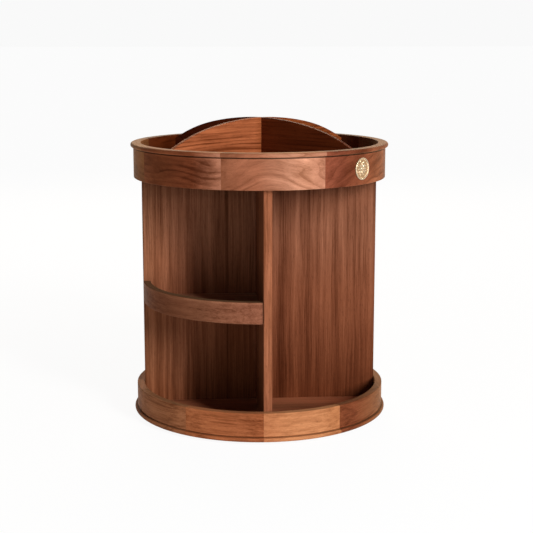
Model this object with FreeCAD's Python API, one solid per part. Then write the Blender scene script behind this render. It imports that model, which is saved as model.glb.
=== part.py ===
import FreeCAD, Part
import math
import os

# A rotating cosmetic cabinet in walnut. Two moulded rings of glued staves hold a cross of upright
# boards between them. The upper ring is a tray divided by two arched boards, and the lower one
# turns on a ball bearing. Millimetres, +Z up. The origin is on the turning axis at table height,
# with the front divider towards -Y. Plan angles are degrees counted from the front towards +X.

# Fits, and how far a cutting block runs past what it cuts
glue_fit = 0.1
ball_clearance = 0.05
cut_margin = 1.0
same_length = 0.01

# Moulded rings
ring_radius = 145.3
ring_wall = 8.5
ring_rounding = 0.7
lip_overhang = 3.2
lip_height = 5.0
quirk_width = 0.8
quirk_depth = 0.7
base_ring_height = 32.0
tray_ring_height = 39.6
base_stave_count = 10
tray_stave_count = 8
base_joint_angle = -2.0
tray_joint_angle = -20.0
glue_line = 0.05

# Floor boards, let into the rings from below
floor_thickness = 8.0
tray_floor_thickness = 8.0
floor_seat = 3.0

# Upright boards between the two floors
clear_height = 267.3
board_thickness = 9.5
board_end_gap = 0.4
board_rounding = 1.0
housing_depth = 2.5

# Quarter-round shelves with a curved rail
shelf_height = 121.0
shelf_thickness = 8.0
rail_height = 24.2
rail_thickness = 8.0
rail_setback = 0.6
rail_seat = 3.0
rail_end_gap = 0.8
rail_rounding = 0.8

# Arched boards that cross in the tray, named by the side of their front ends. The right one runs
# past the axis at an offset.
arch_thickness = 5.0
arch_rise = 27.5
crown_radius = 356.0
haunch_start = 77.0
haunch_radius = 219.0
left_arch_angle = -50.3
right_arch_angle = 45.2
right_arch_offset = 2.9
arch_end_gap = 0.3
arch_housing = 2.0
arch_rounding = 0.5

# Embossed disc on the upper ring
disc_radius = 12.2
disc_field = 0.9
disc_rim_height = 1.5
disc_rim_width = 1.6
disc_boss_radius = 4.0
disc_boss_rise = 0.7
disc_back = 1.0
disc_angle = 46.2
disc_drop = 21.8

# Ball bearing in a ring-shaped recess under the floor
race_radius = 78.8
race_gap = 1.8
ball_radius = 1.75
ball_count = 16
cage_thickness = 0.8
cage_height = 4.2
inner_ring_width = 13.9
outer_ring_width = 10.8
bearing_ring_height = 5.0
bearing_recess = 4.0
bearing_top_gap = 0.8
recess_margin = 2.0

# Rubber feet, let into the fixed ring
foot_radius = 4.0
foot_seat = 0.8
foot_stand = 1.2
foot_count = 6
foot_chamfer = 0.4

# Screws and dowels
ring_screw_shank = 1.75
ring_screw_head = 3.4
ring_screw_length = 22.0
floor_screw_shank = 2.0
floor_screw_head = 4.0
floor_screw_length = 30.0
screw_head_angle = 45.0
screw_point = 3.0
dowel_radius = 3.0
dowel_in_board = 16.0
dowel_in_floor = 5.5
dowel_chamfer = 0.6
dowel_spacing = 55.0
fastener_end_distance = 21.4
hole_clearance = 0.06

# Levels and radii that follow
ring_inner = ring_radius - ring_wall
ring_outer = ring_radius + lip_overhang
floor_underside = foot_stand + bearing_ring_height + bearing_top_gap - bearing_recess
floor_top = floor_underside + floor_thickness
tray_underside = floor_top + clear_height
tray_floor_top = tray_underside + tray_floor_thickness
rim_top = tray_underside + tray_ring_height
arch_top = rim_top + arch_rise
board_reach = ring_inner - board_end_gap
board_half = board_thickness / 2
board_core = board_half - housing_depth
shelf_underside = floor_top + shelf_height
rail_outer = board_reach - rail_setback
rail_inner = rail_outer - rail_thickness
shelf_radius = rail_inner + rail_seat
arch_corner = right_arch_offset + arch_thickness / 2
arch_length = math.sqrt((ring_inner - arch_end_gap) ** 2 - arch_corner ** 2)
recess_ceiling = floor_underside + bearing_recess
inner_ring_radius = race_radius - race_gap / 2
inner_ring_bore = inner_ring_radius - inner_ring_width
outer_ring_bore = race_radius + race_gap / 2
outer_ring_radius = outer_ring_bore + outer_ring_width
inner_ring_bottom = recess_ceiling - bearing_ring_height
outer_ring_top = foot_stand + bearing_ring_height
ball_height = (inner_ring_bottom + outer_ring_top) / 2
ring_screw_circle = (inner_ring_bore + inner_ring_radius) / 2
foot_circle = (outer_ring_bore + outer_ring_radius) / 2
foot_height = foot_stand + foot_seat
floor_screw_circle = board_reach - fastener_end_distance
dowel_circles = (floor_screw_circle, floor_screw_circle - dowel_spacing)

AXIS = FreeCAD.Vector(0, 0, 1)
ORIGIN = FreeCAD.Vector(0, 0, 0)
QUARTER_TURN = 90
QUARTERS = [QUARTER_TURN * index for index in range(4)]


def section_point(radius, height):
    """A point of a section drawn in the half plane that faces the front."""
    return FreeCAD.Vector(0, -radius, height)


def turned(shape, angle):
    """A copy of a shape built at the front, moved round the axis to a plan angle."""
    copy = shape.copy()
    copy.rotate(ORIGIN, AXIS, angle)
    return copy


def raised(shape, height):
    copy = shape.copy()
    copy.translate(FreeCAD.Vector(0, 0, height))
    return copy


def block(x_range, y_range, z_range):
    size = [high - low for low, high in (x_range, y_range, z_range)]
    corner = FreeCAD.Vector(x_range[0], y_range[0], z_range[0])
    return Part.makeBox(*size, corner)


def tube(outer, inner, bottom, height):
    base = FreeCAD.Vector(0, 0, bottom)
    return Part.makeCylinder(outer, height, base).cut(Part.makeCylinder(inner, height, base))


def line(start, end):
    return Part.makeLine(section_point(*start), section_point(*end))


def arc(start, middle, end):
    points = [section_point(*point) for point in (start, middle, end)]
    return Part.Arc(*points).toShape()


def corner_arc(centre, radius, start_angle):
    """A quarter-round corner that runs counterclockwise in radius and height."""
    angles = [math.radians(start_angle + turn) for turn in (0, 45, 90)]
    points = [(centre[0] + radius * math.cos(a), centre[1] + radius * math.sin(a)) for a in angles]
    return arc(*points)


def swept(edges, sweep):
    """The solid that a closed section makes when it turns about the axis."""
    face = Part.Face(Part.Wire(edges))
    solid = face.revolve(ORIGIN, AXIS, sweep)
    return Part.Solid(solid.Shells[0]) if solid.ShapeType != "Solid" else solid


def moulding_section(height):
    """Section of a ring standing on its lip: round bead, quirk, plain wall and eased edges."""
    bead_radius = ring_outer - lip_height / 2
    quirk_top = lip_height + quirk_width
    quirk_radius = ring_radius - quirk_depth
    ease = ring_rounding
    return [
        line((ring_inner + ease, 0), (bead_radius, 0)),
        arc((bead_radius, 0), (ring_outer, lip_height / 2), (bead_radius, lip_height)),
        line((bead_radius, lip_height), (quirk_radius, lip_height)),
        line((quirk_radius, lip_height), (quirk_radius, quirk_top)),
        line((quirk_radius, quirk_top), (ring_radius, quirk_top)),
        line((ring_radius, quirk_top), (ring_radius, height - ease)),
        corner_arc((ring_radius - ease, height - ease), ease, 0),
        line((ring_radius - ease, height), (ring_inner + ease, height)),
        corner_arc((ring_inner + ease, height - ease), ease, 90),
        line((ring_inner, height - ease), (ring_inner, ease)),
        corner_arc((ring_inner + ease, ease), ease, 180),
    ]


def stave(height, count):
    """One stave of a ring, standing on its lip, from the front towards +X."""
    sweep = 360 / count - math.degrees(glue_line / ring_radius)
    return swept(moulding_section(height), sweep)


def floor_seat_cut(bottom, thickness):
    return Part.makeCylinder(ring_inner + floor_seat, thickness, FreeCAD.Vector(0, 0, bottom))


def base_staves():
    first = raised(stave(base_ring_height, base_stave_count), floor_underside)
    first = first.cut(floor_seat_cut(floor_underside, floor_thickness))
    step = 360 / base_stave_count
    return [turned(first, base_joint_angle + step * index) for index in range(base_stave_count)]


def tray_staves():
    first = stave(tray_ring_height, tray_stave_count)
    first = first.mirror(ORIGIN, AXIS)
    first = raised(first, rim_top).cut(floor_seat_cut(tray_underside, tray_floor_thickness))
    step = 360 / tray_stave_count
    return [turned(first, tray_joint_angle + step * index) for index in range(tray_stave_count)]


def wood_screw(shank, head, length, bottom, circle, clearance=0.0):
    """A countersunk screw driven upwards at the front, or its hole when it has a clearance."""
    taper = (head - shank) / math.tan(math.radians(screw_head_angle))
    grown_shank = shank + clearance
    grown_head = head + clearance
    grown_length = length + clearance
    corners = [
        (0, bottom),
        (grown_head, bottom),
        (grown_shank, bottom + taper),
        (grown_shank, bottom + grown_length - screw_point),
        (0, bottom + grown_length),
    ]
    screw = swept([line(a, b) for a, b in zip(corners, corners[1:] + corners[:1])], 360)
    screw.translate(section_point(circle, 0))
    return screw


def ring_screw(clearance=0.0):
    return wood_screw(
        ring_screw_shank, ring_screw_head, ring_screw_length,
        inner_ring_bottom, ring_screw_circle, clearance,
    )


def floor_screw(clearance=0.0):
    return wood_screw(
        floor_screw_shank, floor_screw_head, floor_screw_length,
        floor_underside, floor_screw_circle, clearance,
    )


def dowel(circle, clearance=0.0):
    """A fluteless dowel across the joint under the tray floor, or its hole."""
    radius = dowel_radius + clearance
    low = tray_underside - dowel_in_board - clearance
    high = tray_underside + dowel_in_floor + clearance
    chamfer = dowel_chamfer
    corners = [
        (0, low), (radius - chamfer, low), (radius, low + chamfer),
        (radius, high - chamfer), (radius - chamfer, high), (0, high),
    ]
    pin = swept([line(a, b) for a, b in zip(corners, corners[1:] + corners[:1])], 360)
    pin.translate(section_point(circle, 0))
    return pin


def fastener_holes():
    """Holes for all screws and dowels, cut from every board that they pass."""
    holes = []
    for angle in QUARTERS:
        holes.append(turned(ring_screw(hole_clearance), angle))
        holes.append(turned(floor_screw(hole_clearance), angle))
        holes.extend(turned(dowel(circle, hole_clearance), angle) for circle in dowel_circles)
    return holes


def shelf_quarter(radius, corner, low, high):
    """A quarter disc in the front left compartment, with its straight sides at a set distance."""
    disc = Part.makeCylinder(radius, high - low, FreeCAD.Vector(0, 0, low))
    side = (-radius - cut_margin, -corner)
    return disc.common(block(side, side, (low, high)))


def front_shelf():
    top = shelf_underside + shelf_thickness
    return shelf_quarter(shelf_radius - glue_fit, board_core + glue_fit, shelf_underside, top)


def shelf_housing():
    """The groove that takes the front shelf's two straight edges."""
    top = shelf_underside + shelf_thickness
    return shelf_quarter(shelf_radius, board_core, shelf_underside, top)


def front_shelf_rail():
    """The curved rail on the shelf's edge, rebated to take the board from below."""
    low = shelf_underside
    high = shelf_underside + rail_height
    ease = rail_rounding
    section = [
        line((rail_inner + ease, low), (rail_outer - ease, low)),
        corner_arc((rail_outer - ease, low + ease), ease, 270),
        line((rail_outer, low + ease), (rail_outer, high - ease)),
        corner_arc((rail_outer - ease, high - ease), ease, 0),
        line((rail_outer - ease, high), (rail_inner + ease, high)),
        corner_arc((rail_inner + ease, high - ease), ease, 90),
        line((rail_inner, high - ease), (rail_inner, low + ease)),
        corner_arc((rail_inner + ease, low + ease), ease, 180),
    ]
    end = board_half + rail_end_gap
    side = (-rail_outer - cut_margin, -end)
    band = turned(swept(section, QUARTER_TURN), -QUARTER_TURN)
    band = band.common(block(side, side, (low, high)))
    seat = Part.makeCylinder(shelf_radius, shelf_thickness, FreeCAD.Vector(0, 0, low))
    return band.cut(seat)


def upright_edges(board):
    """The four long edges of an upright board."""
    return [
        edge for edge in board.Edges
        if abs(edge.BoundBox.ZLength - clear_height) < same_length
    ]


def cross_panel():
    """The board that runs through the axis, grooved for both dividers and both shelves."""
    panel = block(
        (-board_reach, board_reach), (-board_half, board_half), (floor_top, tray_underside)
    )
    panel = panel.makeFillet(board_rounding, upright_edges(panel))
    groove = block(
        (-board_half - glue_fit, board_half + glue_fit),
        (-board_half - cut_margin, -board_core),
        (floor_top, tray_underside),
    )
    for angle in (0, 180):
        panel = panel.cut(turned(groove, angle)).cut(turned(shelf_housing(), angle))
    return panel.cut(fastener_holes())


def front_divider():
    """The front upright board, with its back edge in the cross panel's groove."""
    board = block(
        (-board_half, board_half), (-board_reach, -board_core - glue_fit), (floor_top, tray_underside)
    )
    front_edges = [
        edge for edge in upright_edges(board)
        if edge.BoundBox.YMin < -board_reach + same_length
    ]
    board = board.makeFillet(board_rounding, front_edges)
    return board.cut([shelf_housing()] + fastener_holes())


def base_floor():
    """The turning floor board, with a ring-shaped recess below for the bearing."""
    radius = ring_inner + floor_seat - glue_fit
    board = Part.makeCylinder(radius, floor_thickness, FreeCAD.Vector(0, 0, floor_underside))
    recess = tube(
        outer_ring_radius + recess_margin, inner_ring_bore - recess_margin,
        floor_underside, bearing_recess,
    )
    return board.cut([recess] + fastener_holes())


def crown_points(side):
    """Points along half the crown's edge, from its top to the back end of the board. A wide arc runs
    to the second point and a tighter one from there to the last."""
    haunch_angle = math.asin(haunch_start / crown_radius)
    shift = crown_radius - haunch_radius
    crown_centre = arch_top - crown_radius
    haunch_y = shift * math.sin(haunch_angle)
    haunch_z = crown_centre + shift * math.cos(haunch_angle)
    end_angle = math.asin((arch_length - haunch_y) / haunch_radius)
    points = [FreeCAD.Vector(side, 0, arch_top)]
    for y, z, radius, angle in (
        (0, crown_centre, crown_radius, haunch_angle),
        (haunch_y, haunch_z, haunch_radius, (haunch_angle + end_angle) / 2),
        (haunch_y, haunch_z, haunch_radius, end_angle),
    ):
        points.append(FreeCAD.Vector(side, y + radius * math.sin(angle), z + radius * math.cos(angle)))
    return points


def arch_blank(offset):
    """An arched board before its half lap, from front to back with its lower edge in the tray floor."""
    low = tray_floor_top - arch_housing
    side = offset - arch_thickness / 2
    back = crown_points(side)
    front = [FreeCAD.Vector(point.x, -point.y, point.z) for point in back]
    back_foot = FreeCAD.Vector(side, arch_length, low)
    front_foot = FreeCAD.Vector(side, -arch_length, low)
    edges = [
        Part.makeLine(front[3], front_foot),
        Part.makeLine(front_foot, back_foot),
        Part.makeLine(back_foot, back[3]),
        Part.Arc(back[3], back[2], back[1]).toShape(),
        Part.Arc(back[1], back[0], front[1]).toShape(),
        Part.Arc(front[1], front[2], front[3]).toShape(),
    ]
    board = Part.Face(Part.Wire(edges)).extrude(FreeCAD.Vector(arch_thickness, 0, 0))
    crown_edges = [edge for edge in board.Edges if edge.Curve.TypeId == "Part::GeomCircle"]
    return board.makeFillet(arch_rounding, crown_edges)


def arch_slab(angle, offset, low, high):
    """The room that an arched board takes, with space for glue. Its front end is at a plan angle."""
    half = arch_thickness / 2 + glue_fit
    reach = arch_length + glue_fit
    return turned(block((offset - half, offset + half), (-reach, reach), (low, high)), angle)


def tray_arches():
    """The two arched boards. The right one is slotted from above and the left one from below."""
    low = tray_floor_top - arch_housing
    middle = (low + arch_top) / 2
    right = turned(arch_blank(right_arch_offset), right_arch_angle)
    left = turned(arch_blank(0), left_arch_angle)
    right = right.cut(arch_slab(left_arch_angle, 0, middle, arch_top + cut_margin))
    left = left.cut(arch_slab(right_arch_angle, right_arch_offset, low - cut_margin, middle))
    return right, left


def tray_floor():
    """The fixed floor of the tray, with shallow grooves for the arched boards."""
    radius = ring_inner + floor_seat - glue_fit
    board = Part.makeCylinder(radius, tray_floor_thickness, FreeCAD.Vector(0, 0, tray_underside))
    low = tray_floor_top - arch_housing
    high = tray_floor_top + cut_margin
    left_groove = arch_slab(left_arch_angle, 0, low, high)
    right_groove = arch_slab(right_arch_angle, right_arch_offset, low, high)
    return board.cut([left_groove, right_groove] + fastener_holes())


def embossed_disc():
    """A round metal disc with a raised rim and a domed boss, its back fitted to the ring's wall."""
    rim_inner = disc_radius - disc_rim_width
    rim_middle = disc_radius - disc_rim_width / 2
    dome_radius = (disc_boss_radius ** 2 + disc_boss_rise ** 2) / (2 * disc_boss_rise)
    dome_top = disc_field + disc_boss_rise
    half_turn = math.asin(disc_boss_radius / dome_radius) / 2
    dome_middle = (
        dome_radius * math.sin(half_turn),
        dome_top - dome_radius * (1 - math.cos(half_turn)),
    )
    section = [
        line((0, -disc_back), (disc_radius, -disc_back)),
        line((disc_radius, -disc_back), (disc_radius, disc_field)),
        arc((disc_radius, disc_field), (rim_middle, disc_rim_height), (rim_inner, disc_field)),
        line((rim_inner, disc_field), (disc_boss_radius, disc_field)),
        arc((disc_boss_radius, disc_field), dome_middle, (0, dome_top)),
        line((0, dome_top), (0, -disc_back)),
    ]
    disc = swept(section, 360)
    disc.rotate(ORIGIN, FreeCAD.Vector(1, 0, 0), QUARTER_TURN)
    disc.translate(FreeCAD.Vector(0, -ring_radius, rim_top - disc_drop))
    wall = Part.makeCylinder(ring_radius + hole_clearance, rim_top, ORIGIN)
    return turned(disc.cut(wall), disc_angle)


def race_groove():
    return Part.makeTorus(race_radius, ball_radius + ball_clearance, FreeCAD.Vector(0, 0, ball_height))


def bearing_inner_ring():
    """The turning ring, screwed up into the floor, with a ball race round its outside."""
    ring = tube(inner_ring_radius, inner_ring_bore, inner_ring_bottom, bearing_ring_height)
    ring = ring.cut(race_groove())
    return ring.cut([turned(ring_screw(hole_clearance), angle) for angle in QUARTERS])


def foot(angle, clearance=0.0):
    """A round rubber foot, half let into the fixed ring, or its pocket."""
    height = foot_height + clearance
    pad = Part.makeCylinder(foot_radius + clearance, height, section_point(foot_circle, 0))
    if clearance == 0:
        lower = [edge for edge in pad.Edges if edge.BoundBox.ZMax < same_length]
        pad = pad.makeChamfer(foot_chamfer, lower)
    return turned(pad, angle)


def foot_angles():
    step = 360 / foot_count
    return [step * (index + 0.5) for index in range(foot_count)]


def bearing_outer_ring():
    """The fixed ring that stands on the feet, with the other ball race in its bore."""
    ring = tube(outer_ring_radius, outer_ring_bore, foot_stand, bearing_ring_height)
    ring = ring.cut(race_groove())
    return ring.cut([foot(angle, ball_clearance) for angle in foot_angles()])


def ball_angles():
    return [360 / ball_count * index for index in range(ball_count)]


def ball_cage():
    """A thin nylon band with a round window for each ball."""
    half = cage_thickness / 2
    bottom = ball_height - cage_height / 2
    band = tube(race_radius + half, race_radius - half, bottom, cage_height)
    window = Part.makeCylinder(
        ball_radius + ball_clearance, race_gap,
        section_point(race_radius + race_gap / 2, ball_height), FreeCAD.Vector(0, 1, 0),
    )
    return band.cut([turned(window, angle) for angle in ball_angles()])


def bearing_balls():
    ball = Part.makeSphere(ball_radius, section_point(race_radius, ball_height))
    return Part.makeCompound([turned(ball, angle) for angle in ball_angles()])


def group(piece, angles):
    return Part.makeCompound([turned(piece, angle) for angle in angles])


def cabinet_parts():
    """Every piece of the cabinet by name."""
    parts = {}
    for index, piece in enumerate(base_staves()):
        parts["base_stave_%02d" % (index + 1)] = piece
    for index, piece in enumerate(tray_staves()):
        parts["tray_stave_%02d" % (index + 1)] = piece
    parts["base_floor"] = base_floor()
    parts["cross_panel"] = cross_panel()
    parts["front_divider"] = front_divider()
    parts["front_shelf"] = front_shelf()
    parts["front_shelf_rail"] = front_shelf_rail()
    parts["rear_divider"] = turned(parts["front_divider"], 180)
    parts["rear_shelf"] = turned(parts["front_shelf"], 180)
    parts["rear_shelf_rail"] = turned(parts["front_shelf_rail"], 180)
    parts["tray_floor"] = tray_floor()
    parts["tray_arch_lower"], parts["tray_arch_upper"] = tray_arches()
    parts["embossed_disc"] = embossed_disc()
    parts["bearing_inner_ring"] = bearing_inner_ring()
    parts["bearing_outer_ring"] = bearing_outer_ring()
    parts["ball_cage"] = ball_cage()
    parts["bearing_balls"] = bearing_balls()
    parts["bearing_screws"] = group(ring_screw(), QUARTERS)
    parts["floor_screws"] = group(floor_screw(), QUARTERS)
    parts["tray_dowels"] = Part.makeCompound([
        turned(dowel(circle), angle) for angle in QUARTERS for circle in dowel_circles
    ])
    for index, angle in enumerate(foot_angles()):
        parts["rubber_foot_%d" % (index + 1)] = foot(angle)
    return parts


os.makedirs("parts", exist_ok=True)
for name, shape in cabinet_parts().items():
    shape.exportStep(os.path.join("parts", name + ".step"))
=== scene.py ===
import math

import bpy
from mathutils import Matrix, Vector


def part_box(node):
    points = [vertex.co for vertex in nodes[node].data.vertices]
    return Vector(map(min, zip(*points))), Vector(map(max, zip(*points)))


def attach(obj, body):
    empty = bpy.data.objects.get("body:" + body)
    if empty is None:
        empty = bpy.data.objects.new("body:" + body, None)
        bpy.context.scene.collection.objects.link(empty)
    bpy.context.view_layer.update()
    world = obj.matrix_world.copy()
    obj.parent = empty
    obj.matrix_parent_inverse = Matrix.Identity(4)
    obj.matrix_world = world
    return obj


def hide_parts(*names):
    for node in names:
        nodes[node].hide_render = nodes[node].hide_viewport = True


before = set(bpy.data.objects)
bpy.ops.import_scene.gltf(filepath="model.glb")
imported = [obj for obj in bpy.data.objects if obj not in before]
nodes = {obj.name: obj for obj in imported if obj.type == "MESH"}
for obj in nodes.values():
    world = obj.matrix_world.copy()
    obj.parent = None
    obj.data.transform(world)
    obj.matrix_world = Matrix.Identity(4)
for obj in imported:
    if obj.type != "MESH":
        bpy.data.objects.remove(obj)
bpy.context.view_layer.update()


# Base ring
# Ten walnut staves, glued end to end and turned with a round bead and a narrow quirk at the foot. Each
# stave is cut from another plank, so tone and figure change at every joint. Oiled to a satin finish.

def add(tree, kind, out=0, **sockets):
    """A shader node's output. Sockets are set or linked, with underscores for the spaces in a name."""
    made = tree.nodes.new("ShaderNode" + kind)
    for key, value in sockets.items():
        if key[0].islower():
            setattr(made, key, value)
            continue
        socket = made.inputs[int(key[1:]) if key[1:].isdigit() else key.replace("_", " ")]
        if isinstance(value, bpy.types.NodeSocket):
            tree.links.new(value, socket)
        else:
            socket.default_value = value
    return made.outputs[out]


def blank(name):
    """A new material, its nodes and its shader."""
    material = bpy.data.materials.new(name)
    material.use_nodes = True
    return material, material.node_tree, material.node_tree.nodes["Principled BSDF"]


def from_axis(tree, spot):
    """The distance from the turning axis."""
    flat = add(tree, "VectorMath", operation="MULTIPLY", _0=spot, _1=(1, 1, 0))
    return add(tree, "VectorMath", "Value", operation="LENGTH", _0=flat)


def ramp(tree, value, stops):
    """A colour ramp. Each stop is a place and a grey level or a colour."""
    made = tree.nodes.new("ShaderNodeValToRGB").color_ramp
    while len(made.elements) < len(stops):
        made.elements.new(0.5)
    for element, (place, level) in zip(made.elements, stops):
        element.position = place
        element.color = (*level, 1) if isinstance(level, tuple) else (level, level, level, 1)
    tree.links.new(value, tree.nodes[-1].inputs[0])
    return tree.nodes[-1].outputs[0]


def grain_noise(tree, board, along, across, detail=3.0, roughness=0.55):
    """Noise drawn out along the grain. Its two sizes are in metres."""
    place = add(tree, "Mapping", Vector=board, Scale=(1 / along, 1 / across, 1 / across))
    return add(tree, "TexNoise", Vector=place, Scale=1, Detail=detail, Roughness=roughness)


def plank(middle, contrast):
    """The deep, middle and pale tones of one plank. Deep wood is redder and pale wood yellower."""
    deep = tuple(value * share ** contrast for value, share in zip(middle, (0.42, 0.34, 0.28)))
    pale = tuple(value * share ** contrast for value, share in zip(middle, (1.6, 1.78, 1.9)))
    return [(0.0, deep), (0.5, tuple(middle)), (1.0, pale)]


def timber(name, middle, grain, face, heart, contrast=1.0, ring=0.0045, swirl=0.002, bands=1.2,
           streaks=1.3, threads=0.8, lines=0.2, clouds=0.7, tints=(), swell=None, sheen=0.1):
    """Oiled wood cut from a log whose heart lies at a set place in the board's own frame. Each tint is
    a direction and the colours by which the wood is multiplied at places along it, and may name a
    radius inside which it stops. A swell is the place, half width and height of a rise in the grain."""
    material, tree, shader = blank(name)

    # The board is laid along its grain and its straight lines are bent a little.
    along = Vector(grain).normalized()
    depth = (Vector(face) - Vector(face).dot(along) * along).normalized()
    turn = Matrix((along, depth.cross(along), depth)).to_euler()
    spot = add(tree, "TexCoord", "Object")
    straight = add(tree, "Mapping", Vector=spot, Rotation=turn, Location=[-value for value in heart])
    slow = add(tree, "Mapping", Vector=straight, Scale=(9, 26, 26))
    push = add(tree, "TexNoise", "Color", Vector=slow, Scale=1, Detail=1.5, Roughness=0.45)
    push = add(tree, "VectorMath", operation="SUBTRACT", _0=push, _1=(0.5, 0.5, 0.5))
    push = add(tree, "VectorMath", operation="MULTIPLY", _0=push, _1=(0, 4 * swirl, 4 * swirl))
    board = add(tree, "VectorMath", operation="ADD", _0=straight, _1=push)
    if swell:
        # The grain rises and falls in a bell over the swell's width.
        middle_of_swell, half_width, rise = swell
        run = add(tree, "SeparateXYZ", Vector=board)
        run = add(tree, "Math", operation="MULTIPLY_ADD", _0=run, _1=1 / half_width,
                  _2=(heart[0] - middle_of_swell) / half_width)
        run = add(tree, "Math", operation="POWER", _0=add(tree, "Math", operation="ABSOLUTE", _0=run), _1=2)
        run = add(tree, "Math", operation="MULTIPLY", _0=run, _1=-1)
        run = add(tree, "Math", operation="EXPONENT", _0=run)
        run = add(tree, "Math", operation="MULTIPLY", _0=run, _1=-rise)
        run = add(tree, "CombineXYZ", Y=run)
        board = add(tree, "VectorMath", operation="ADD", _0=board, _1=run)

    # Year rings round the heart, each with its own tone and, in patches, a dark line of late wood.
    flat = add(tree, "VectorMath", operation="MULTIPLY", _0=board, _1=(0, 1, 1))
    reach = add(tree, "VectorMath", "Value", operation="LENGTH", _0=flat)
    count = add(tree, "Math", operation="DIVIDE", _0=reach, _1=ring)
    drift = grain_noise(tree, board, 0.3, 0.045, 2.0)
    swing = add(tree, "Math", operation="MULTIPLY_ADD", _0=drift, _1=5.0, _2=count)
    year = add(tree, "Math", operation="FRACT", _0=swing)
    late = ramp(tree, year, [(0.0, 0.15), (0.5, 0.0), (0.84, 0.8), (0.93, 1.0), (1.0, 0.15)])
    patch = grain_noise(tree, board, 0.09, 0.02, 1.0)
    patch = add(tree, "MapRange", Value=patch, From_Min=0.42, From_Max=0.6)
    late = add(tree, "Math", operation="MULTIPLY", _0=late, _1=patch)
    band = add(tree, "TexNoise", noise_dimensions="1D", W=swing, Scale=0.33, Detail=3.0, Roughness=0.6)

    # Long streaks, fine threads and soft clouds lie over the rings.
    streak = grain_noise(tree, board, 0.3, 0.0034, 4.0, 0.6)
    thread = grain_noise(tree, board, 0.05, 0.0012, 2.0)
    cloud = grain_noise(tree, board, 0.06, 0.028, 3.0)
    level = 0.5 - 0.5 * (bands + streaks + clouds + threads)
    tone = add(tree, "Math", operation="MULTIPLY_ADD", _0=band, _1=bands, _2=level)
    for share, amount in ((streak, streaks), (cloud, clouds), (thread, threads), (late, -lines)):
        tone = add(tree, "Math", operation="MULTIPLY_ADD", _0=share, _1=amount, _2=tone)
    colour = ramp(tree, tone, plank(middle, contrast))

    # Short dark pores, then the tints.
    pore = grain_noise(tree, board, 0.006, 0.0003, 0.0)
    pore = ramp(tree, pore, [(0.0, 0.0), (0.64, 0.0), (0.72, 1.0)])
    shade = add(tree, "MapRange", Value=pore, To_Min=1.0, To_Max=0.7)
    colour = mix(tree, 1.0, colour, shade, "MULTIPLY")
    for way, stops, *inner in tints:
        low, high = stops[0][0], stops[-1][0]
        run = add(tree, "VectorMath", "Value", operation="DOT_PRODUCT", _0=spot, _1=way)
        run = add(tree, "MapRange", Value=run, From_Min=low, From_Max=high)
        stops = [((place - low) / (high - low), level) for place, level in stops]
        share = 1.0
        if inner:
            share = add(tree, "Math", operation="GREATER_THAN", _0=from_axis(tree, spot), _1=inner[0])
        colour = mix(tree, share, colour, ramp(tree, run, stops), "MULTIPLY")
    tree.links.new(colour, shader.inputs["Base Color"])

    # The oiled surface, satin and slightly rough.
    gloss = add(tree, "MapRange", Value=thread, From_Min=0.3, From_Max=0.7, To_Min=0.52, To_Max=0.42)
    tree.links.new(gloss, shader.inputs["Roughness"])
    shader.inputs["IOR"].default_value = 1.3
    shader.inputs["Specular IOR Level"].default_value = 0.025
    shader.inputs["Specular Tint"].default_value = (1.0, 0.85, 0.6, 1)
    shader.inputs["Sheen Weight"].default_value = sheen
    shader.inputs["Sheen Roughness"].default_value = 0.4
    shader.inputs["Sheen Tint"].default_value = (1.0, 0.8, 0.42, 1)
    height = add(tree, "Math", operation="MULTIPLY_ADD", _0=pore, _1=-0.8, _2=thread)
    relief = add(tree, "Bump", Strength=0.35, Distance=0.00006, Height=height)
    tree.links.new(relief, shader.inputs["Normal"])
    return material


def mix(tree, factor, first, second, blend="MIX"):
    """Two colours mixed, each given as a socket or as three numbers."""
    made = tree.nodes.new("ShaderNodeMix")
    made.data_type = "RGBA"
    made.blend_type = blend
    for socket, value in zip((made.inputs[0], made.inputs[6], made.inputs[7]), (factor, first, second)):
        if isinstance(value, bpy.types.NodeSocket):
            tree.links.new(value, socket)
        elif isinstance(value, tuple):
            socket.default_value = (*value, 1)
        else:
            socket.default_value = value
    return made.outputs[2]


def dress(name, material):
    """Gives a piece of the frame its finish."""
    data = nodes[name].data
    data.materials.clear()
    data.materials.append(material)


def round_the_ring(angle):
    """The outward and the sideways direction at a plan angle, in degrees from the front."""
    turn = math.radians(angle)
    return Vector((math.sin(turn), -math.cos(turn), 0)), Vector((math.cos(turn), math.sin(turn), 0))


def lean(sideways, degrees):
    """The grain's direction in a stave: sideways, rising by some degrees."""
    rise = math.radians(degrees)
    return sideways * math.cos(rise) + Vector((0, 0, math.sin(rise)))


up, right = (0, 0, 1), (1, 0, 0)
wall_radius = 0.1453
wall_middle = 0.141

# Each plank: its middle tone, its contrast and the rise of its grain in degrees.
base_planks = (
    ((0.41, 0.168, 0.072), 0.7, 1.5), ((0.142, 0.038, 0.015), 0.8, 3.0), ((0.23, 0.09, 0.037), 0.8, -2.0),
    ((0.25, 0.08, 0.036), 1.0, 1.0), ((0.35, 0.13, 0.055), 0.8, -3.0), ((0.18, 0.055, 0.025), 1.0, 2.0),
    ((0.28, 0.1, 0.042), 0.9, 0.5), ((0.24, 0.085, 0.04), 0.8, -1.0), ((0.297, 0.108, 0.046), 0.8, 1.0),
    ((0.32, 0.1, 0.038), 0.8, -1.5),
)

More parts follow.
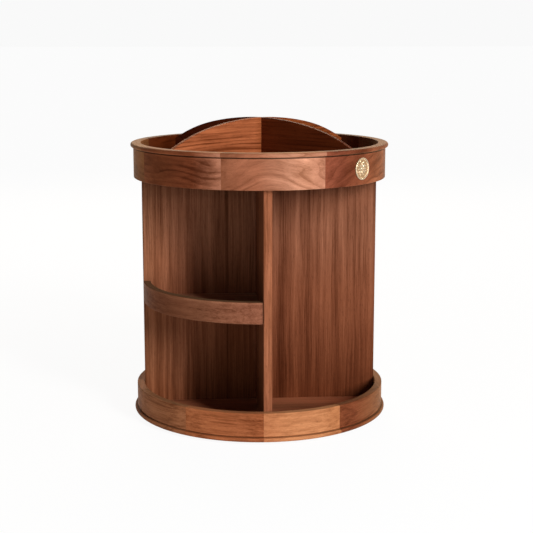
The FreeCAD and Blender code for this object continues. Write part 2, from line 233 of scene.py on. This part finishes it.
# The quirk is darkened as painted shade, and the arrises on either side of it are lightened as painted
# highlights. Some planks change tone along the wall.
# Painted shade in the quirk and painted highlights on its edges
base_quirk_shade_and_highlight = (up, ((0.006, 1), (0.0073, 1.15), (0.0078, (0.64, 0.58, 0.52)), (0.0089, (0.64, 0.58, 0.52)),
                   (0.0093, 1.2), (0.011, 1)), wall_middle)
# The front plank's lighter middle is a painted highlight and plank 2's pale far right edge a painted sheen.
# Plank 10 darkens towards the divider.
base_tones_and_highlights = {
    1: [(right, ((0.003, (0.84, 0.75, 0.72)), (0.024, (0.93, 0.9, 0.88)), (0.042, (0.96, 0.95, 0.95)),
                 (0.061, (0.88, 0.86, 0.84)), (0.078, (0.78, 0.72, 0.66))))],
    2: [(right, ((0.1, 1), (0.135, (1.25, 1.65, 1.55))))],
    10: [(right, ((-0.09, 1), (-0.055, 1), (-0.03, (0.8, 0.78, 0.78)), (0, (0.75, 0.7, 0.68))))],
}
base_first = -2.0
base_step = 360 / len(base_planks)
for number, (middle, contrast, rise) in enumerate(base_planks, start=1):
    outward, sideways = round_the_ring(base_first + base_step * (number - 0.5))
    heart = (0.37 * number - 0.37, 0.026 - 0.006 * number, 0.086 + 0.004 * number)
    dress("base_stave_%02d" % number, timber(
        "base stave %d" % number, middle, lean(sideways, rise), outward, heart, contrast,
        tints=[base_quirk_shade_and_highlight] + base_tones_and_highlights.get(number, []),
    ))


# Tray ring
# Eight wider staves with the same moulding turned over, the bead at the rim. The planks are livelier
# than those of the base, with leaning and swirling figure.

# Planks 4 and 6 lie at the back, where only their inner faces show. They are made nearly black partly as
# painted shade inside the tray.
tray_planks = (
    ((0.4, 0.155, 0.085), 0.75, 0.0), ((0.17, 0.042, 0.019), 0.8, 22.0), ((0.19, 0.065, 0.032), 0.8, -4.0),
    ((0.1, 0.02, 0.006), 1.0, 3.0), ((0.4, 0.15, 0.07), 0.9, -8.0), ((0.11, 0.02, 0.0045), 0.8, 4.0),
    ((0.22, 0.075, 0.024), 0.7, -3.0), ((0.24, 0.068, 0.03), 1.0, -2.0),
)
# The quirk under the bead is darkened as painted shade, and its edges are lightened as painted highlights.
tray_quirk_shade_and_highlight = (up, ((0.3098, 1), (0.3112, 1.15), (0.3119, 0.3), (0.313, 0.3), (0.3136, 1.2), (0.3146, 1)),
              wall_middle)
# The rim's flat top is tinted warmer, a painted warm sheen.
tray_rim_sheen_tint = (up, ((0.3173, 1), (0.3178, (1.08, 0.9, 0.6))))
# The front plank's pale right half and the start of plank 2 carry a painted highlight over the planks' own
# tone, and plank 2's pale far right edge is a painted sheen.
tray_tones_and_highlights = {
    1: [(right, ((-0.052, (0.46, 0.4, 0.35)), (-0.03, (0.55, 0.48, 0.44)), (-0.012, (0.66, 0.61, 0.58)),
                 (0.022, (1.0, 1.17, 1.3)), (0.04, (1.12, 1.32, 1.45)), (0.06, (0.9, 1.0, 1.1))))],
    2: [(right, ((0.06, (1.15, 1.3, 1.5)), (0.08, (0.82, 0.87, 0.95)), (0.1, (0.9, 1, 1)),
                 (0.13, (1.3, 1.65, 1.5))))],
    8: [(right, ((-0.14, (1, 0.97, 0.8)), (-0.105, (0.66, 0.6, 0.52)), (-0.08, (0.7, 0.65, 0.6)),
                 (-0.05, (1.22, 1.7, 2.2))))],
}
tray_swells = {1: (-0.0065, 0.03, 0.014)}
tray_first = -20.0
tray_step = 360 / len(tray_planks)
for number, (middle, contrast, rise) in enumerate(tray_planks, start=1):
    outward, sideways = round_the_ring(tray_first + tray_step * (number - 0.5))
    heart = (2.59 + 0.41 * number, 0.296 + 0.004 * number, 0.095 + 0.005 * number)
    dress("tray_stave_%02d" % number, timber(
        "tray stave %d" % number, middle, lean(sideways, rise), outward, heart, contrast,
        ring=0.006, swirl=0.004, clouds=1.5, streaks=0.7, threads=0.4, lines=0.45,
        tints=[tray_quirk_shade_and_highlight, tray_rim_sheen_tint] + tray_tones_and_highlights.get(number, []), swell=tray_swells.get(number),
    ))


# Floor boards
# A round board let into each ring from below. The lower one turns on the bearing, and the upper one
# is the tray's floor.

floor_wood = timber("floor boards", (0.2, 0.048, 0.02), right, up, (0.2, 0.0, -0.3), ring=0.007)
dress("base_floor", floor_wood)
dress("tray_floor", floor_wood)


# Upright boards
# A full-width panel through the axis, with a divider housed in each face. Straight, quartered grain
# runs up and down. Its colour carries painted shade towards its foot and just under the tray ring,
# and painted light towards its left end and its lower left corner.

# Painted shade near the foot and under the tray ring, and painted light at the left end and the lower left
panel_shade_by_height = (up, ((0.02, (0.52, 0.42, 0.34)), (0.14, (0.76, 0.74, 0.73)), (0.22, (0.84, 0.95, 1.06)),
                     (0.25, (0.8, 0.9, 1.0)), (0.265, (0.56, 0.62, 0.67)), (0.2786, (0.3, 0.32, 0.35))))
panel_light_at_lower_left = ((-1, 0, -1), ((-0.06, 1), (0, (1.05, 1.14, 1.2)), (0.06, (1.3, 1.55, 1.75))))
panel_light_at_left_end = (right, ((-0.137, (1.6, 1.8, 1.8)), (-0.12, (1.35, 1.4, 1.35)), (-0.1, (1.3, 1.35, 1.35)),
                       (-0.08, (1.2, 1.22, 1.22)), (-0.06, (1.06, 1.08, 1.05)), (-0.02, (1.08, 1.1, 1.05)),
                       (0, 1)))
panel_wood = timber("cross panel", (0.205, 0.066, 0.031), up, (0, -1, 0), (0.0, 0.4, 0.02), 0.9,
                    ring=0.0055, swirl=0.001, bands=1.5, streaks=1.0, threads=1.0, clouds=0.3, lines=0.1,
                    tints=(panel_shade_by_height, panel_light_at_left_end, panel_light_at_lower_left))
dress("cross_panel", panel_wood)
for side, outward in (("front", (0, -1, 0)), ("rear", (0, 1, 0))):
    # The divider's sides, behind its front edge, are darkened as painted shade.
    divider_side_shade = (outward, ((0.133, (0.55, 0.5, 0.45)), (0.1355, 1)))
    dress(side + "_divider", timber(
        side + " divider", (0.265, 0.093, 0.045), up, right, (0.3, 0.35, 0.03), 0.8, swirl=0.0015,
        tints=[divider_side_shade], sheen=0.0,
    ))


# Shelves
# A quarter-round board housed in the panel and the divider, and let from below into a curved rail
# along its edge. The rail's eased top edge has a painted highlight, and its top is darkened as painted
# shade.

shelf_wood = timber("shelf boards", (0.18, 0.05, 0.025), right, up, (0.5, 0.1, -0.25))
rail_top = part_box("front_shelf_rail")[1][2]
# A painted highlight along the rail's top edge and painted shade on its top
rail_top_highlight_and_shade = (up, ((rail_top - 0.003, 1), (rail_top - 0.0008, (1.2, 1.3, 1.3)),
                  (rail_top, (0.4, 0.36, 0.3))))
rail_run = (right, ((-0.12, (0.94, 0.88, 0.8)), (-0.07, (0.88, 0.94, 0.95)), (-0.02, (1.05, 1.1, 1.2))))
for side, angle in (("front", -45), ("rear", 135)):
    outward, sideways = round_the_ring(angle)
    dress(side + "_shelf", shelf_wood)
    dress(side + "_shelf_rail", timber(
        side + " rail", (0.192, 0.067, 0.034), lean(sideways, 1.0), outward, (1.4 + angle, 0.25, 0.12),
        0.7, swirl=0.001, clouds=0.2, bands=0.8, tints=[rail_top_highlight_and_shade, rail_run], sheen=0.06,
    ))


# Arched boards
# Two thin boards, half-lapped where they cross and grooved into the tray's floor. Grain runs along each
# board. The one that runs to the front left is redder, and its back-right half is darkened as a painted
# shadow of the other board. The other one is nearly black, partly as painted shade on its unlit face.

for name, angle, middle, contrast, levels in (
    ("tray_arch_lower", 45.2, (0.108, 0.019, 0.0057), 0.5, ((-0.01, 1), (0.01, (1, 1.1, 1)))),
    # The back-right half of this board is darkened as a painted shadow of the other board.
    ("tray_arch_upper", -50.3, (0.33, 0.094, 0.035), 1.0, ((-0.01, (0.56, 0.46, 0.3)), (0.01, 1))),
):
    along, across = round_the_ring(angle)
    dress(name, timber(
        name.replace("_", " "), middle, lean(along, 1.0), across, (0.6 + angle, 0.11, 0.16), contrast,
        ring=0.005, lines=0.6, clouds=0.8, tints=[(along, levels)], sheen=0.0,
    ))


# Embossed disc
# A stamped disc of pale brass, glued to the tray ring. It has a rounded rim, a ring of beads and a plain
# eight-leaved rosette. The raised work is polished and the ground between is matte and darker.

def shaped_faces(test):
    """Selects the faces of the mesh in edit mode whose centre and normal pass a test."""
    bpy.ops.mesh.select_all(action="DESELECT")
    bpy.ops.object.mode_set(mode="OBJECT")
    for face in bpy.context.object.data.polygons:
        face.select = test(face.center, face.normal)
    bpy.ops.object.mode_set(mode="EDIT")


def apply_modifiers(piece):
    """Makes a piece's modifiers part of its mesh."""
    for modifier in list(piece.modifiers):
        bpy.ops.object.modifier_apply(modifier=modifier.name)


def cut_away(piece, tool):
    """Cuts the shape of a tool out of a piece, and removes the tool."""
    cut = piece.modifiers.new("cut", "BOOLEAN")
    cut.operation = "DIFFERENCE"
    cut.object = tool
    bpy.context.view_layer.objects.active = piece
    apply_modifiers(piece)
    bpy.data.objects.remove(tool)


def copies(first, count):
    """A piece and its copies, each with its own mesh."""
    made = [first]
    while len(made) < count:
        copy = first.copy()
        copy.data = first.data.copy()
        bpy.context.scene.collection.objects.link(copy)
        made.append(copy)
    return made


def set_round(pieces, radius, height, offset=0.0):
    """Sets pieces evenly round the Z axis, each turned with its place. The offset is in degrees."""
    for index, piece in enumerate(pieces):
        angle = math.tau * index / len(pieces) + math.radians(offset)
        piece.location = (radius * math.cos(angle), radius * math.sin(angle), height)
        piece.rotation_euler = (0, 0, angle)
    return pieces


def joined(pieces):
    """Several pieces made one, with its place in its mesh."""
    bpy.ops.object.select_all(action="DESELECT")
    for piece in pieces:
        piece.select_set(True)
    bpy.context.view_layer.objects.active = pieces[0]
    bpy.ops.object.join()
    bpy.ops.object.transform_apply()
    return pieces[0]


# Heights of the ground and the rim over the wall, and how far the back reaches behind it
disc_radius, disc_ground, disc_rim, disc_back = 0.0121, 0.0007, 0.0014, 0.001
disc_rim_width, disc_rim_rounding = 0.0013, 0.0004
disc_angle = 46.2
glue_room = 0.00002
bpy.ops.object.select_all(action="DESELECT")
bpy.ops.mesh.primitive_cylinder_add(vertices=96, radius=disc_radius, depth=disc_ground + disc_back,
                                    location=(0, 0, (disc_ground - disc_back) / 2))
disc = bpy.context.object
disc.name = "brass_disc"
bpy.ops.object.transform_apply()
bpy.context.tool_settings.mesh_select_mode = (False, False, True)
bpy.ops.object.mode_set(mode="EDIT")
shaped_faces(lambda centre, normal: normal.z > 0.9)
bpy.ops.mesh.extrude_region_move(TRANSFORM_OT_translate={"value": (0, 0, disc_rim - disc_ground)})
bpy.ops.mesh.inset(thickness=disc_rim_width)
bpy.ops.mesh.extrude_region_move(TRANSFORM_OT_translate={"value": (0, 0, disc_ground - disc_rim)})
bpy.ops.object.mode_set(mode="OBJECT")
rounding = disc.modifiers.new("rounding", "BEVEL")
rounding.width = disc_rim_rounding
rounding.segments = 4
rounding.limit_method = "ANGLE"
apply_modifiers(disc)

disc_low, disc_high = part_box("embossed_disc")
disc_height = (disc_low[2] + disc_high[2]) / 2
disc_outward, _ = round_the_ring(disc_angle)


def set_on_wall(piece):
    """Moves a piece modelled flat at the origin to the disc's place on the ring."""
    piece.rotation_euler = disc_outward.to_track_quat("Z", "Y").to_euler()
    piece.location = disc_outward * wall_radius + Vector((0, 0, disc_height))
    bpy.ops.object.transform_apply()


set_on_wall(disc)
bpy.ops.object.select_all(action="DESELECT")
bpy.ops.mesh.primitive_cylinder_add(vertices=512, radius=wall_radius + glue_room, depth=0.05,
                                    location=(0, 0, disc_height))
cut_away(disc, bpy.context.object)


def leaf(length, width, height):
    """A leaf of the rosette, modelled at the origin with its outer end drawn to a point."""
    bpy.ops.object.select_all(action="DESELECT")
    bpy.ops.mesh.primitive_uv_sphere_add(segments=20, ring_count=12, radius=1)
    made = bpy.context.object
    made.scale = (length / 2, width / 2, height)
    bpy.ops.object.transform_apply(location=False, rotation=False)
    bpy.ops.object.mode_set(mode="EDIT")
    shaped_faces(lambda centre, normal: centre.x > 0.3 * length)
    bpy.ops.transform.resize(value=(1, 0.55, 0.8))
    bpy.ops.object.mode_set(mode="OBJECT")
    return made


# The middle, the long leaves, the short ones between them, and the beads
relief = set_round([leaf(0.0034, 0.0034, 0.0007)], 0, disc_ground)
relief += set_round(copies(leaf(0.0054, 0.0026, 0.00062), 8), 0.0047, disc_ground)
relief += set_round(copies(leaf(0.0030, 0.0016, 0.00042), 8), 0.0074, disc_ground, offset=22.5)
relief += set_round(copies(leaf(0.0010, 0.0011, 0.0004), 44), 0.0101, disc_ground)
rosette = joined(relief)
set_on_wall(rosette)
disc = joined([disc, rosette])
bpy.ops.object.shade_smooth_by_angle(angle=math.radians(35))


def surface(name, pattern, tones, gloss, metallic=0.0, depth=0.00002):
    """A finish whose tone, roughness and relief all follow one pattern."""
    material, tree, shader = blank(name)
    value = pattern(tree, add(tree, "TexCoord", "Object"))
    low, high = 0.35, 0.65
    tree.links.new(ramp(tree, value, [(low, tones[0]), (high, tones[1])]), shader.inputs["Base Color"])
    finish = add(tree, "MapRange", Value=value, From_Min=low, From_Max=high,
                 To_Min=gloss[0], To_Max=gloss[1])
    tree.links.new(finish, shader.inputs["Roughness"])
    tree.links.new(add(tree, "Bump", Strength=0.4, Distance=depth, Height=value), shader.inputs["Normal"])
    shader.inputs["Metallic"].default_value = metallic
    return material


def speckle(scale):
    """A pattern of fine spots."""
    return lambda tree, spot: add(tree, "TexNoise", Vector=spot, Scale=scale, Detail=3.0)


brass = surface("pale brass", speckle(260), ((0.59, 0.44, 0.27), (0.7, 0.56, 0.38)), (0.25, 0.32), 1.0)
tree = brass.node_tree
shader = tree.nodes["Principled BSDF"]
spot = add(tree, "TexCoord", "Object")
ground_reach = wall_radius + disc_ground
relief_rise = 0.0003
height = add(tree, "VectorMath", "Value", operation="DOT_PRODUCT", _0=spot, _1=disc_outward)
height = add(tree, "MapRange", Value=height, From_Min=ground_reach, From_Max=ground_reach + relief_rise)
raised_tone = shader.inputs["Base Color"].links[0].from_socket
ground_tone = mix(tree, 1.0, raised_tone, (0.66, 0.53, 0.42), "MULTIPLY")
tree.links.new(mix(tree, height, ground_tone, raised_tone), shader.inputs["Base Color"])
polish = add(tree, "MapRange", Value=height, To_Min=0.55, To_Max=0.28)
tree.links.new(polish, shader.inputs["Roughness"])
stipple = add(tree, "TexNoise", Vector=spot, Scale=2600, Detail=2.0)
tree.links.new(add(tree, "Bump", Strength=0.4, Distance=0.00005, Height=stipple), shader.inputs["Normal"])
disc.data.materials.clear()
disc.data.materials.append(brass)
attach(disc, "cabinet")
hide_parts("embossed_disc")


# Ball bearing
# An aluminium ring screwed to the floor turns inside a fixed one, which stands on the feet. Steel balls
# in a white nylon cage run in the race between them.

def turned(tree, spot):
    """The fine rings that a lathe leaves round the turning axis."""
    return add(tree, "TexNoise", noise_dimensions="1D", W=from_axis(tree, spot), Scale=1800, Detail=3.0)


aluminium = surface("turned aluminium", turned, ((0.6, 0.61, 0.63), (0.76, 0.77, 0.79)), (0.38, 0.24), 1.0)
steel = surface("bright steel", speckle(900), ((0.52, 0.52, 0.54), (0.64, 0.64, 0.66)), (0.3, 0.18), 1.0,
                0.00001)
for name in ("bearing_inner_ring", "bearing_outer_ring"):
    dress(name, aluminium)
dress("bearing_balls", steel)
dress("ball_cage", surface("nylon", speckle(700), ((0.74, 0.73, 0.68), (0.82, 0.81, 0.77)), (0.6, 0.45)))


# Screws
# Countersunk steel screws, four through the turning ring and four through the floor, set to the four
# quarters. Each head has a cross recess.

def wood_screw(low, high, head, shank, point):
    """A screw that points up on the axis, with a cross recess cut in its head."""
    taper = head - shank
    bpy.ops.object.select_all(action="DESELECT")
    bpy.ops.mesh.primitive_cylinder_add(vertices=48, radius=shank, depth=high - point - low - taper,
                                        location=(0, 0, (low + taper + high - point) / 2))
    made = bpy.context.object
    bpy.ops.object.transform_apply()
    bpy.ops.object.mode_set(mode="EDIT")
    shaped_faces(lambda centre, normal: normal.z < -0.9)
    bpy.ops.mesh.extrude_region_move(TRANSFORM_OT_translate={"value": (0, 0, -taper)})
    bpy.ops.transform.resize(value=(head / shank, head / shank, 1))
    shaped_faces(lambda centre, normal: normal.z > 0.9)
    bpy.ops.mesh.extrude_region_move(TRANSFORM_OT_translate={"value": (0, 0, point)})
    bpy.ops.transform.resize(value=(0.04, 0.04, 1))
    bpy.ops.object.mode_set(mode="OBJECT")
    recess_length, recess_width, recess_depth = 1.16 * head, 0.0009, 0.0013
    for length, width in ((recess_length, recess_width), (recess_width, recess_length)):
        bpy.ops.object.select_all(action="DESELECT")
        bpy.ops.mesh.primitive_cube_add(size=1, location=(0, 0, low))
        bar = bpy.context.object
        bar.scale = (length, width, 2 * recess_depth)
        bpy.ops.object.transform_apply()
        cut_away(made, bar)
    return made


screw_point = 0.003
screw_count = 4
for node, head, shank in (("bearing_screws", 0.0034, 0.00175), ("floor_screws", 0.004, 0.002)):
    low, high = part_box(node)
    screw = wood_screw(low[2], high[2], head, shank, screw_point)
    screws = joined(set_round(copies(screw, screw_count), high[0] - head, 0))
    screws.name = node.replace("screws", "screw_set")
    bpy.ops.object.shade_smooth_by_angle(angle=math.radians(35))
    screws.data.materials.append(steel)
    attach(screws, "cabinet")
    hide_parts(node)


# Rubber feet
# Six round black pads, let into pockets under the fixed ring and standing a little proud of it. They
# have a fine matte grain.

rubber = surface("rubber", speckle(1500), ((0.014, 0.014, 0.014), (0.03, 0.03, 0.03)), (0.85, 0.65), 0.0,
                 0.00008)
foot_count = 6
for index in range(foot_count):
    dress("rubber_foot_%d" % (index + 1), rubber)


# Dowels
# Plain beech pins, glued into the upright boards and the tray's floor. Nothing shows of them once the
# cabinet is together.

dress("tray_dowels", timber("beech", (0.6, 0.4, 0.22), up, (0, -1, 0), (0, 0.25, 0.04), 0.3, ring=0.003))


# Stage
# A plain pale floor that keeps the cabinet's soft shadow, in a white studio. The floor throws a little
# light back up, and both are seen white directly, in gloss and through glass.

def open_rays(tree):
    """1 for the rays that see the studio itself, and 0 for those that carry its light."""
    rays = tree.nodes.new("ShaderNodeLightPath").outputs
    seen = rays["Is Camera Ray"]
    for name in ("Is Glossy Ray", "Is Transmission Ray"):
        seen = add(tree, "Math", operation="MAXIMUM", _0=seen, _1=rays[name])
    return seen


white, near_white = 0.948, 0.9
bounce, ambient = 0.3, 0.05
bpy.ops.object.select_all(action="DESELECT")
bpy.ops.mesh.primitive_plane_add(size=60, location=(0, 0, 0))
floor = bpy.context.object
floor.name = "studio_floor"
paper, tree, shader = blank("studio paper")
shader.inputs["Base Color"].default_value = (0.8, 0.8, 0.8, 1)
shader.inputs["Roughness"].default_value = 0.9
shader.inputs["Specular IOR Level"].default_value = 0.0
shader.inputs["Emission Color"].default_value = (1, 1, 1, 1)
shader.inputs["Emission Strength"].default_value = bounce
distance = add(tree, "VectorMath", "Value", operation="LENGTH", _0=add(tree, "TexCoord", "Object"))
level = add(tree, "MapRange", Value=distance, From_Min=0.2, From_Max=1.0, To_Min=near_white, To_Max=white)
seen = add(tree, "Math", operation="MULTIPLY", _0=open_rays(tree), _1=level)
blend = add(tree, "MixShader", _0=seen, _1=shader.outputs[0], _2=add(tree, "Emission"))
tree.links.new(blend, tree.nodes["Material Output"].inputs["Surface"])
floor.data.materials.append(paper)

world = bpy.data.worlds.new("studio")
bpy.context.scene.world = world
world.use_nodes = True
tree = world.node_tree
backdrop = add(tree, "MapRange", Value=open_rays(tree), To_Min=ambient, To_Max=white)
tree.links.new(backdrop, tree.nodes["Background"].inputs["Color"])
tree.nodes["Background"].inputs["Strength"].default_value = 1.0


# Light
# A tall softbox to the right of the camera lights the fronts, a weak one beside the camera fills them,
# and a broad warm one behind the cabinet lights the rims.

def softbox(name, azimuth, elevation, distance, width, height, level, colour=(1, 1, 1)):
    """A lamp panel that faces the cabinet's middle. A level of 1 shows a colour as it is written."""
    turn, rise = math.radians(azimuth), math.radians(elevation)
    way = Vector((math.sin(turn) * math.cos(rise), -math.cos(turn) * math.cos(rise), math.sin(rise)))
    light = bpy.data.lights.new(name, "AREA")
    light.shape = "RECTANGLE"
    light.size = width
    light.size_y = height
    light.energy = level * (math.pi * distance) ** 2
    light.color = colour
    lamp = bpy.data.objects.new(name, light)
    bpy.context.scene.collection.objects.link(lamp)
    lamp.location = cabinet_middle + way * distance
    lamp.rotation_euler = way.to_track_quat("Z", "Y").to_euler()


cabinet_middle = Vector((0, 0, 0.18))
softbox("key", 32.5, 21, distance=2.4, width=0.45, height=0.9, level=1.17)
softbox("fill", -6, 6, distance=2.4, width=0.8, height=0.8, level=0.13)
softbox("back", 180, 30, distance=2.2, width=1.6, height=0.6, level=0.6, colour=(1.0, 0.82, 0.58))


# Camera
# It stands where the photograph was taken from: a little left of the front divider and raised, looking
# slightly down.

lens = bpy.data.cameras.new("camera")
lens.lens = 85.743
lens.sensor_width = 36.0
lens.clip_end = 100.0
camera = bpy.data.objects.new("camera", lens)
bpy.context.scene.collection.objects.link(camera)
camera.location = (-0.0974, -1.4665, 0.4464)
camera.rotation_euler = (math.radians(79.363), 0.0, math.radians(-4.121))
bpy.context.scene.camera = camera
bpy.context.scene.view_settings.view_transform = "Standard"
